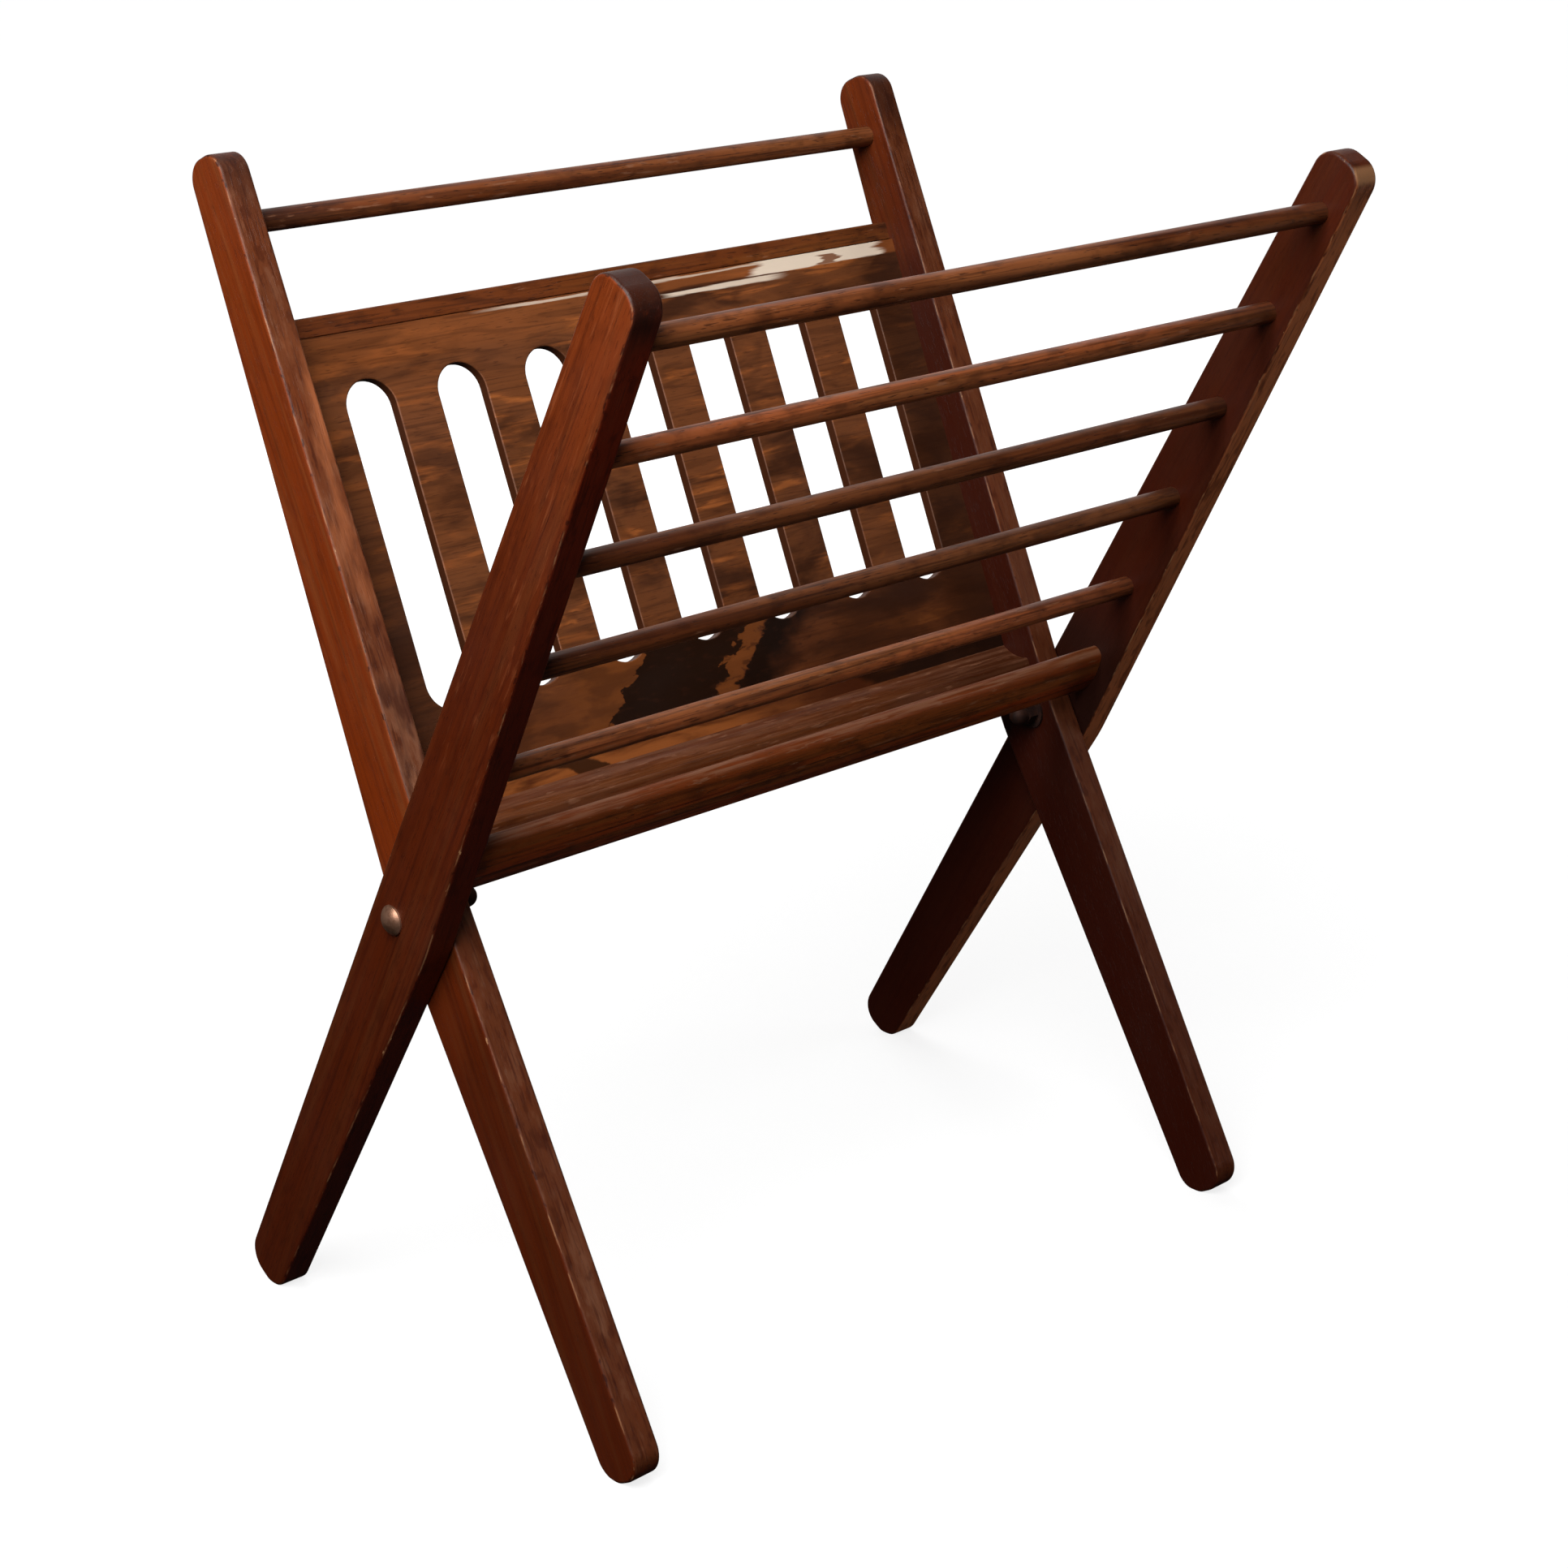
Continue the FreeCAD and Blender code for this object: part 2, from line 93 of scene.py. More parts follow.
class RackColours(bpy.types.PropertyGroup):
    """Stain, wear and metal colours."""

    stile_mid: tone("Stile stain", "Red-brown stain on the stiles", "#7f3008")
    stile_warm: tone("Stile bands", "Warmer bands where the stain is thin", "#86421c")
    # The streaks' dark also paints the shade towards the stiles' feet.
    stile_dark: tone("Stile streaks", "Dark streaks of the stain in the grain", "#360c01")
    # The ends' near-black also paints the shade in the corner under the front rail.
    end_grain_and_shade: tone("Stile ends", "Near-black stain in the end grain of the stiles", "#28110a")
    edge_dark: tone("Dark edge", "Deep red stain on an edge that keeps it", "#7a2407")
    edge_brown: tone("Rubbed edge", "Browner tone where hands have rubbed the stain", "#65331a")
    # The worn paler brown also paints a sheen on the gripped patch.
    edge_worn: tone("Worn edge", "Paler brown of the most handled edge", "#ba6b40")
    # The grey-pink also paints the highlight lines on the rails' noses.
    edge_grey: tone("Scuffed edge", "Grey-pink scuffs on the rubbed edges", "#8f6046")
    # Bare wood also paints the highlight along the stiles' arrises.
    bare_wood: tone("Bare wood", "Pale wood where the stain has worn off", "#b3825a")
    dowel_mid: tone("Dowel stain", "Brown stain on the dowels", "#763c1c")
    # A paler copy of the dowel stain, painted light on dowels 2 and 5.
    dowel_lit: tone("Handled dowels", "Paler stain on the dowels that are handled most", "#a2562e")
    dowel_dark: tone("Dowel streaks", "Dark streaks on the dowels", "#2a0e05")
    dowel_warm: tone("Dowel bands", "Warmer bands on the dowels", "#92562f")
    rail_mid: tone("Rail stain", "Brown stain on the rails", "#6e3513")
    rail_red: tone("Front rail stain", "Redder stain on the front rail", "#9c3d10")
    # The rails' streaky dark also paints the shade at the coved rail's far end.
    rail_dark: tone("Rail streaks", "Dark streaks on the rails", "#2c1004")
    rail_warm: tone("Rail bands", "Warmer bands on the rails", "#84481c")
    panel_mid: tone("Panel stain", "Brown stain on the plywood face", "#713f20")
    # The dark clouds also paint the shadow in the panel's right margin.
    panel_dark: tone("Panel cloud", "Dark clouds of stain on the plywood face", "#331708")
    panel_warm: tone("Panel flecks", "Warm flecks in the plywood face", "#985326")
    panel_orange: tone("Panel glow", "Orange-brown face where the old stain is thin", "#7c4219")
    panel_gold: tone("Panel strip", "Bright orange-brown strip above the coved rail", "#aa602d")
    panel_red: tone("Panel shade", "Deep red-brown low on the plywood face", "#4c2009")
    # The old stain's near-black also paints the shadow line under the top rail.
    panel_black: tone("Old stain", "Near-black old stain below the slots", "#160701")
    raw_ply: tone("Raw ply", "Bare pale plywood where the face has split off", "#f4dfc8")
    ply_edge: tone("Ply edges", "Stained edges of the plies", "#48230f")
    bronze: tone("Bronze", "Aged bronze of the bolt heads", "#b0836a")
    bronze_dark: tone("Bronze patina", "Dark patina on the bolt heads", "#855c45")
    steel: tone("Dark steel", "Browned steel of nuts and washers", "#2c140c")
    steel_rust: tone("Steel bloom", "Rusty bloom on the browned steel", "#43200f")
    floor: tone("Floor", "Plain pale floor", "#8c8c8c")


class RackStage(bpy.types.PropertyGroup):
    """Camera and lights."""

    camera_place: FloatVectorProperty(
        name="Camera place", description="Where the camera stands", subtype="TRANSLATION",
        unit="LENGTH", default=(-0.816766, -0.907279, 0.683920))
    camera_azimuth: angle("Azimuth", "Camera's turn about the rack", -41.952)
    camera_elevation: angle("Elevation", "How far the camera looks down", 20.437)
    camera_roll: angle("Roll", "Camera's small tilt", -0.539)
    camera_lens: FloatProperty(
        name="Lens", description="Focal length on a 36 mm sensor", unit="CAMERA", default=66.93)
    key_power: power("Key light", "Power of the soft light high on the left", 23.0)
    fill_power: power("Fill light", "Power of the soft light low on the right", 4.5)
    back_power: power("Back light", "Power of the broad soft light behind", 15.0)
    rear_power: power("Rear fill", "Power of the soft fill on the rack's back", 14.0)
    sky_strength: FloatProperty(
        name="Room light", description="Strength of the even white light all round",
        default=0.015, min=0.0)
    floor_glow: FloatProperty(
        name="Floor glow", description="Even light that the pale floor is lit with",
        default=0.80, min=0.0)


class Finish:
    """One material in the making: its nodes, where its surface lies and the colour laid so far."""

    def __init__(self, name, ground, along=ALONG_WIDTH, lean=0.0):
        self.material = bpy.data.materials.new(name)
        self.material.use_nodes = True
        self.tree = self.material.node_tree
        self.tree.nodes.clear()
        self.shader = self.add("ShaderNodeBsdfPrincipled")
        self.add("ShaderNodeOutputMaterial", {"Surface": self.shader.outputs[0]})
        self.colour = ground
        self.along = along
        # Places are measured from the pivot and turned with the piece: across its width, through
        # its depth and up its length. The way that the surface faces is turned with them.
        turn = Matrix.Rotation(lean, 3, "X")
        coords = self.add("ShaderNodeTexCoord")
        self.place = self.add("ShaderNodeMapping", {
            "Vector": coords.outputs["Object"], "Rotation": (lean, 0.0, 0.0),
            "Location": -(turn @ PIVOT)}).outputs[0]
        facing = self.add("ShaderNodeMapping", {
            "Vector": coords.outputs["Normal"], "Rotation": (lean, 0.0, 0.0)}, vector_type="VECTOR")
        self.across, _, self.up = self.add("ShaderNodeSeparateXYZ", {0: self.place}).outputs
        self.sideways, self.backward, self.upward = self.add(
            "ShaderNodeSeparateXYZ", {0: facing.outputs[0]}).outputs

    def add(self, kind, inputs=None, **settings):
        """Adds a node: settings are its own, inputs are values or the sockets that feed it."""
        made = self.tree.nodes.new(kind)
        for key, value in settings.items():
            setattr(made, key, value)
        for key, value in (inputs or {}).items():
            if isinstance(value, bpy.types.NodeSocket):
                self.tree.links.new(value, made.inputs[key])
            elif made.inputs[key].type == "RGBA":
                made.inputs[key].default_value = (*value, 1.0)
            else:
                made.inputs[key].default_value = value
        return made

    def grain(self, width, run, detail=3.0, distortion=0.0):
        """Draws noise that is width across the wood's grain and run along it."""
        sizes = [width, width, width]
        sizes[self.along] = run
        stretched = self.add("ShaderNodeMapping", {
            "Vector": self.place, "Scale": [1 / size for size in sizes]})
        return self.add("ShaderNodeTexNoise", {
            "Vector": stretched.outputs[0], "Scale": 1.0, "Detail": detail, "Roughness": 0.55,
            "Distortion": distortion}).outputs["Fac"]

    def rings(self, width, run, count):
        """Draws growth lines, as count contours of a broad pattern."""
        broad = self.grain(width, run, detail=1.5, distortion=0.4)
        turns = self.add("ShaderNodeMath", {0: broad, 1: 2 * math.pi * count}, operation="MULTIPLY")
        return self.add("ShaderNodeMath", {0: turns.outputs[0]}, operation="SINE").outputs[0]

    def ragged(self, measure, reach, pattern):
        """Shifts a measure to either side by a pattern, so that a limit on it is ragged."""
        centred = self.add("ShaderNodeMath", {0: pattern, 1: 0.5}, operation="SUBTRACT")
        return self.add("ShaderNodeMath", {
            0: centred.outputs[0], 1: reach, 2: measure}, operation="MULTIPLY_ADD").outputs[0]

    def arris(self, facing):
        """Finds eased edges: high where the surface has half turned away from facing."""
        square = self.add("ShaderNodeMath", {0: facing, 1: 2.0}, operation="POWER").outputs[0]
        rest = self.add("ShaderNodeMath", {0: 1.0, 1: square}, operation="SUBTRACT").outputs[0]
        half = self.add("ShaderNodeMath", {0: square, 1: rest}, operation="MULTIPLY").outputs[0]
        return self.add("ShaderNodeMath", {0: half, 1: 4.0}, operation="MULTIPLY").outputs[0]

    def zone(self, *limits):
        """Gives 1 where every limit holds.

        A limit is a measure or pattern, the value where it starts and the value where it is full.
        """
        shared = 1.0
        for measure, start, full in limits:
            part = self.add("ShaderNodeMapRange", {
                "Value": measure, "From Min": start, "From Max": full},
                interpolation_type="SMOOTHSTEP")
            shared = self.add("ShaderNodeMath", {
                0: shared, 1: part.outputs[0]}, operation="MULTIPLY").outputs[0]
        return shared

    def stain(self, colour, cover, *limits):
        """Lays a colour, as thick as cover, where every limit holds."""
        amount = self.add("ShaderNodeMath", {0: self.zone(*limits), 1: cover}, operation="MULTIPLY")
        self.colour = self.add("ShaderNodeMix", {
            0: amount.outputs[0], 6: self.colour, 7: colour}, data_type="RGBA").outputs[2]

    def coat(self, height, relief, rough, sheen):
        """Joins the colour, a relief and a surface that is rubbed to different gloss in places."""
        rubbed = self.grain(30 * MM, 60 * MM, detail=4.0)
        gloss = self.add("ShaderNodeMapRange", {
            "Value": rubbed, "From Min": 0.3, "From Max": 0.7,
            "To Min": rough - 0.08, "To Max": rough + 0.12})
        bump = self.add("ShaderNodeBump", {"Height": height, "Strength": 0.6, "Distance": relief})
        self.tree.links.new(self.colour, self.shader.inputs["Base Color"])
        self.tree.links.new(gloss.outputs[0], self.shader.inputs["Roughness"])
        self.tree.links.new(bump.outputs[0], self.shader.inputs["Normal"])
        self.shader.inputs["Specular IOR Level"].default_value = sheen
        return self.material


def stained_grain(wood, sizes, warm, dark, strength, fineness=1.0):
    """Lays the bands, streaks, fibres and pores that stain brings out in beech.

    Returns the relief of its fibres and open pores.
    """
    bands = wood.grain(sizes.band_width, sizes.band_length, detail=2.0, distortion=0.6)
    streaks = wood.grain(
        fineness * sizes.streak_width, sizes.streak_length, detail=4.0, distortion=0.3)
    fibres = wood.grain(sizes.fibre_width, sizes.fibre_length)
    pores = wood.grain(sizes.pore_width, sizes.pore_length, detail=1.0)
    lines = wood.rings(1.6 * sizes.band_width, 1.4 * sizes.band_length, count=6)
    blotches = wood.grain(sizes.blotch, 2 * sizes.blotch, detail=4.0)
    wood.stain(warm, 0.8, (bands, 0.42, 0.66))
    wood.stain(dark, strength, (streaks, 0.5, 0.72))
    wood.stain(dark, 0.5 * strength, (lines, 0.55, 0.98))
    wood.stain(dark, 0.7 * strength, (blotches, 0.48, 0.72))
    wood.stain(dark, 0.7 * strength, (fibres, 0.5, 0.75))
    wood.stain(dark, 0.9 * strength, (pores, 0.63, 0.70))
    open_pores = wood.zone((pores, 0.63, 0.70))
    return wood.add("ShaderNodeMath", {0: fibres, 1: open_pores}, operation="SUBTRACT").outputs[0]


def stile_finish(name, lean, sizes, colours, wear):
    """Planed beech, stained red-brown and satin varnished.

    The stain gathers in the grain as soft streaks and is darkest in the ends, the inner faces are
    darker, painted shade darkens the stile towards the feet and in the corner under the front rail,
    and hands have rubbed the front edges brown and the arrises pale. The pale arrises are also a
    painted highlight, and the pale gripped patch on one of them is partly a painted sheen.
    """
    wood = Finish(name, colours.stile_mid, ALONG_LENGTH, lean)
    clouds = wood.grain(30 * MM, 70 * MM)
    height = wood.ragged(wood.up, 0.12, clouds)
    wood.stain(colours.stile_warm, wear["warm"], (height, 0.10, 0.26))
    relief = stained_grain(wood, sizes, colours.stile_warm, colours.stile_dark, wear["figure"])
    inward = 1 if name.endswith("left") else -1
    inner = (wood.sideways, 0.4 * inward, 0.9 * inward)
    outer = (wood.sideways, -0.5 * inward, -0.9 * inward)
    # The edges that face the front are rubbed brown, or are a deep red.
    nicks = wood.grain(2.2 * MM, 12 * MM, detail=4.0)
    front = (wood.ragged(wood.backward, 0.7, nicks), -0.6, -0.9)
    patches = wood.grain(14 * MM, 60 * MM, detail=4.0)
    lines = wood.grain(1.1 * MM, 34 * MM)
    rubs = wood.grain(4 * MM, 11 * MM, detail=4.0)
    wood.stain(getattr(colours, wear["front_tone"]), 0.95, front, (patches, 0.05, 0.45))
    wood.stain(colours.edge_grey, wear["front_rubbed"], front, (patches, 0.56, 0.70))
    wood.stain(colours.edge_grey, 0.4 * wear["front_rubbed"] + 0.05, front, (rubs, 0.52, 0.66))
    wood.stain(colours.stile_dark, 0.5, front, (rubs, 0.46, 0.34))
    wood.stain(colours.stile_dark, 0.6, front, (lines, 0.5, 0.68))
    # The most gripped of them has a pale patch where it is gripped, partly worn and partly a
    # painted sheen.
    grip = ((height, 0.125, 0.165), (height, 0.255, 0.215))
    wood.stain(colours.edge_worn, wear["handled"], front, *grip, (patches, 0.32, 0.58))
    # Painted shade darkens the stile towards its foot, on the front edge by its own amount.
    start, full, depth = wear["shade_to_foot"]
    low = (height, start, full)
    wood.stain(colours.stile_dark, depth, low, (wood.backward, -0.9, -0.6))
    wood.stain(colours.stile_dark, depth * wear["front_foot_shade"], low, (wood.backward, -0.6, -0.9))
    # The inner face is darker along its length.
    start, full, depth = wear["inner_dark"]
    wood.stain(colours.stile_dark, depth, inner, (height, start, full))
    # Painted shade darkens the corner where the front rail meets the stile.
    corner = ((wood.up, 0.07, 0.04), (wood.up, -0.03, 0.0))
    wood.stain(colours.end_grain_and_shade, wear["corner_shade"], inner, *corner)
    # Just above the crossing the closing frames have left smudges on them.
    smudges = wood.grain(8 * MM, 26 * MM, detail=3.0)
    crossing = (front, (wood.up, 0.035, 0.05), (wood.up, 0.1, 0.085))
    wood.stain(colours.edge_grey, 0.4 * wear["smudged"], *crossing, (smudges, 0.38, 0.55))
    wood.stain(colours.stile_dark, 0.75 * wear["smudged"], *crossing, (smudges, 0.48, 0.66))
    # The outer face has faint long scuffs above the crossing.
    scuffs = wood.grain(2.2 * MM, 24 * MM, detail=5.0, distortion=0.8)
    above = (height, 0.04, 0.14)
    wood.stain(colours.edge_worn, wear["scuffed"], outer, above, (scuffs, 0.56, 0.74))
    # Arrises are rubbed to a thin broken pale line, which is also a painted highlight, with
    # a few dents.
    edges = wood.arris(wood.sideways)
    dents = wood.grain(2.5 * MM, 6 * MM, detail=2.0)
    wood.stain(colours.stile_dark, 0.8, (edges, 0.15, 0.4), (dents, 0.42, 0.36))
    wood.stain(colours.bare_wood, wear["arris_wear_and_highlight"], (edges, 0.72, 0.99), (nicks, 0.48, 0.62))
    wood.stain(colours.bare_wood, 0.8, (edges, 0.3, 0.6), (dents, 0.70, 0.73))
    # The top end has drunk more stain, and may be rubbed bare in front.
    wood.stain(colours.end_grain_and_shade, wear["end_dark"], (wood.upward, 0.35, 0.7))
    wood.stain(colours.end_grain_and_shade, wear["end_dark"], front, (height, 0.28, 0.32))
    brow = ((wood.upward, 0.3, 0.6), (wood.backward, -0.2, -0.5))
    wood.stain(colours.bare_wood, wear["end_worn"], *brow)
    return wood.coat(relief, sizes.relief, rough=0.46, sheen=0.32)


def cross_finish(name, sizes, colours, tones, wear):
    """Beech rods and rails, turned or planed, stained brown and satin varnished.

    Streaks run along the width, the ends are dark where they meet the stiles, and rubbing has left
    short pale scuffs. Painted shade darkens the coved rail's far end, and the rails' noses carry
    painted highlight lines.
    """
    warm, dark = tones
    wood = Finish(name, getattr(colours, wear["tone"]))
    relief = stained_grain(wood, sizes, warm, dark, strength=0.75, fineness=wear["fineness"])
    wood.stain(dark, wear["depth"])
    out = wood.add("ShaderNodeMath", {0: wood.across}, operation="ABSOLUTE").outputs[0]
    wood.stain(dark, wear["ends"], (out, 0.17, 0.19))
    # It darkens beyond a point across its width; on the coved rail this is painted shade at its far
    # end.
    start, full, depth = wear["dark_beyond"]
    clouds = wood.grain(12 * MM, 30 * MM)
    reach = wood.ragged(wood.across, 0.06, clouds)
    wood.stain(dark, depth, (reach, start, full))
    # The top of a rail's nose is rubbed browner, and the grey lines on its upward-facing part are a
    # painted highlight.
    wood.stain(colours.rail_mid, wear["nose"], (wood.upward, -0.45, 0.0))
    rubs = wood.grain(1.6 * MM, 40 * MM, detail=4.0)
    wood.stain(colours.edge_grey, wear["nose"], (wood.upward, 0.1, 0.6), (rubs, 0.42, 0.6))
    scuffs = wood.grain(2.0 * MM, 14 * MM, detail=4.0)
    wood.stain(colours.edge_grey, 0.6, (scuffs, wear["scuffs"], wear["scuffs"] + 0.06))
    return wood.coat(relief, sizes.relief, wear["rough"], sheen=0.4)


def panel_finish(name, sizes, colours):
    """Rotary-cut plywood, stained brown by hand and varnished.

    The face has broad wavy figure with warm flecks, old stain left black below the slots, and the
    strip under the top rail is worn and split off to bare wood at one end.
    """
    ply = Finish(name, colours.panel_mid, ALONG_WIDTH, PANEL_LEAN)
    clouds = ply.grain(26 * MM, 60 * MM, detail=4.0, distortion=0.8)
    flecks = ply.grain(7 * MM, 48 * MM, detail=4.0, distortion=0.5)
    fibres = ply.grain(sizes.fibre_width, sizes.fibre_length)
    pores = ply.grain(sizes.pore_width, sizes.pore_length, detail=1.0)
    lines = ply.rings(13 * MM, 150 * MM, count=7)
    # The figure is calm on the left, with a warmer band along its top, and livelier to the right.
    ply.stain(colours.panel_dark, 0.6, (clouds, 0.46, 0.66))
    ply.stain(colours.panel_dark, 0.5, (clouds, 0.48, 0.64), (ply.across, -0.10, -0.04))
    ply.stain(colours.panel_warm, 0.4, (ply.up, 0.219, 0.232), (ply.across, 0.02, -0.03))
    ply.stain(colours.panel_warm, 0.7, (flecks, 0.50, 0.70))
    golden = ((flecks, 0.57, 0.66), (clouds, 0.58, 0.44), (ply.across, -0.12, -0.07))
    ply.stain(colours.panel_gold, 0.7, *golden)
    ply.stain(colours.panel_dark, 0.3, (lines, 0.45, 0.95))
    ply.stain(colours.panel_dark, 0.45, (fibres, 0.5, 0.75))
    ply.stain(colours.panel_dark, 0.45, (pores, 0.62, 0.70))
    # The face is darker at the foot, low on the right, and in both side margins, where the right
    # margin's darkening is a painted shadow of the stile beside it.
    margin = ply.ragged(ply.across, 0.03, clouds)
    low_right = ((ply.across, 0.0, 0.06), (ply.up, 0.18, 0.15))
    ply.stain(colours.panel_red, 0.5, (ply.up, 0.09, 0.06))
    ply.stain(colours.panel_dark, 0.5, *low_right, (clouds, 0.38, 0.56))
    ply.stain(colours.panel_dark, 0.6, (ply.across, -0.120, -0.155), (ply.up, 0.19, 0.12))
    ply.stain(colours.panel_dark, 0.75, (margin, 0.125, 0.160), (ply.up, 0.235, 0.215))
    plain = ply.colour
    # Old stain lies below the slots in two jagged black pools, with a slanting warm gap between.
    jags = ply.grain(7 * MM, 12 * MM, detail=5.0, distortion=0.6)
    slant = ply.add("ShaderNodeMath", {0: ply.across, 1: ply.up}, operation="SUBTRACT").outputs[0]
    drift = ply.ragged(slant, 0.030, jags)
    sink = ply.ragged(ply.up, 0.008, jags)
    level = ((sink, 0.048, 0.050), (sink, 0.084, 0.078))
    mottle = ply.grain(3 * MM, 9 * MM, detail=4.0)
    patches = ply.grain(8 * MM, 24 * MM, detail=4.0, distortion=0.5)
    glow = ((drift, -0.175, -0.13), (drift, -0.044, -0.046), *level)
    left_pool = ((drift, -0.117, -0.116), (drift, -0.0565, -0.0580), *level)
    right_pool = ((drift, -0.0445, -0.0430), (drift, -0.008, -0.030), *level)
    both_pools = ((drift, -0.117, -0.116), (drift, 0.02, 0.0), *level)
    far_shade = ((drift, -0.005, 0.025), (drift, 0.085, 0.055), *level)
    ply.stain(colours.panel_orange, 0.75, *glow)
    ply.stain(colours.panel_dark, 0.42, (drift, -0.09, -0.12), *level, (patches, 0.44, 0.64))
    ply.stain(colours.panel_black, 0.95, *left_pool)
    ply.stain(colours.panel_black, 0.95, *right_pool)
    ply.stain(colours.panel_dark, 0.6, *far_shade)
    ply.stain(colours.panel_dark, 0.6, *both_pools, (mottle, 0.55, 0.66))
    # Above the coved rail the face is rubbed to a warm strip, broken by a dark wedge.
    strip = (ply.ragged(ply.up, 0.004, flecks), 0.0460, 0.0450)
    side = ply.ragged(ply.across, 0.04, flecks)
    tilt = ply.add("ShaderNodeMath", {
        0: ply.up, 1: 2.2, 2: ply.across}, operation="MULTIPLY_ADD").outputs[0]
    leaf = ply.ragged(tilt, 0.014, jags)
    ply.stain(colours.panel_red, 0.9, strip, (side, 0.10, 0.08))
    ply.stain(colours.panel_gold, 0.9, strip, (side, 0.07, -0.02), (flecks, 0.72, 0.42))
    ply.stain(colours.panel_black, 0.85, strip, (leaf, -0.014, -0.011), (leaf, 0.006, 0.003))
    ply.stain(colours.panel_black, 0.8, strip, (leaf, 0.160, 0.170))
    # Under the top rail the face is worn to thin pale lines, and split off to raw wood at the far
    # end, apart from an island of it.
    frays = ply.grain(2.5 * MM, 45 * MM, detail=5.0)
    rise = ply.ragged(ply.up, 0.0030, frays)
    run = ply.ragged(ply.across, 0.03, frays)
    worn = ((run, 0.024, 0.034), (run, 0.108, 0.088))
    torn = ((rise, 0.2336, 0.2341), (run, 0.080, 0.088), (run, 0.172, 0.164))
    face_island = ((rise, 0.2386, 0.2381), (run, 0.124, 0.127), (run, 0.139, 0.136))
    pale_line = (
        (rise, 0.2378, 0.2384), (rise, 0.2396, 0.2392), (run, -0.085, -0.055), (run, 0.09, 0.08))
    ply.stain(colours.panel_warm, 0.6, (rise, 0.2335, 0.2345), (run, 0.02, 0.03))
    ply.stain(colours.raw_ply, 0.85, (rise, 0.2304, 0.2310), (rise, 0.2332, 0.2327), *worn)
    ply.stain(colours.panel_dark, 0.6, (rise, 0.2330, 0.2334), (rise, 0.2346, 0.2341), *worn)
    ply.stain(colours.raw_ply, 1.0, *torn)
    ply.stain(colours.panel_orange, 0.9, *torn, *face_island)
    ply.stain(colours.raw_ply, 0.6, *pale_line)
    # A painted shadow line runs along the top of the face, under the top rail.
    ply.stain(colours.panel_black, 0.8, (ply.up, 0.2408, 0.2413), (ply.across, 0.08, 0.06))
    # The back has kept its plain stain.
    ply.stain(plain, 1.0, (ply.backward, 0.3, 0.6))
    # The slots' walls show stained plies, and their arrises are a little rubbed.
    flat = ply.add("ShaderNodeMath", {0: ply.backward}, operation="ABSOLUTE").outputs[0]
    ply.stain(colours.ply_edge, 1.0, (flat, 0.6, 0.3))
    nicks = ply.grain(14 * MM, 2 * MM)
    ply.stain(colours.edge_grey, 0.35, (ply.arris(ply.backward), 0.5, 0.95), (nicks, 0.4, 0.6))
    return ply.coat(fibres, sizes.relief, rough=0.5, sheen=0.3)


def metal_finish(name, bright, dull, rough, metallic):
    """Turned or pressed metal, aged.

    It is brighter where it is rubbed, dull in patches of patina, and finely pitted.
    """
    metal = Finish(name, bright)
    patina = metal.grain(4.5 * MM, 4.5 * MM, detail=3.0)
    # Pits are drawn coarser than real, so that they show.
    pits = metal.grain(0.7 * MM, 0.7 * MM, detail=2.0)
    metal.stain(dull, 1.0, (patina, 0.38, 0.72))
    metal.coat(pits, 0.05 * MM, rough, sheen=0.5)
    metal.shader.inputs["Metallic"].default_value = metallic
    return metal.material


def paper_finish(name, colour, glow):
    """Matt white studio paper, evenly lit, and a little less so beside the rack for its shadows."""
    paper = Finish(name, colour)
    reach = paper.add("ShaderNodeVectorMath", {0: paper.place}, operation="LENGTH").outputs["Value"]
    light = paper.add("ShaderNodeMapRange", {
        "Value": reach, "From Min": 0.5, "From Max": 2.0, "To Min": glow, "To Max": 1.0},
        interpolation_type="SMOOTHSTEP")
    paper.tree.links.new(light.outputs[0], paper.shader.inputs["Emission Strength"])
    paper.shader.inputs["Base Color"].default_value = (*colour, 1.0)
    paper.shader.inputs["Emission Color"].default_value = WHITE
    paper.shader.inputs["Roughness"].default_value = 0.9
    paper.shader.inputs["Specular IOR Level"].default_value = 0.0
    return paper.material


def dress(material, *names):
    """Gives CAD nodes their finish."""
    for name in names:
        slots = frame["nodes"][name].data.materials
        for number in range(len(slots)):
            slots[number] = material


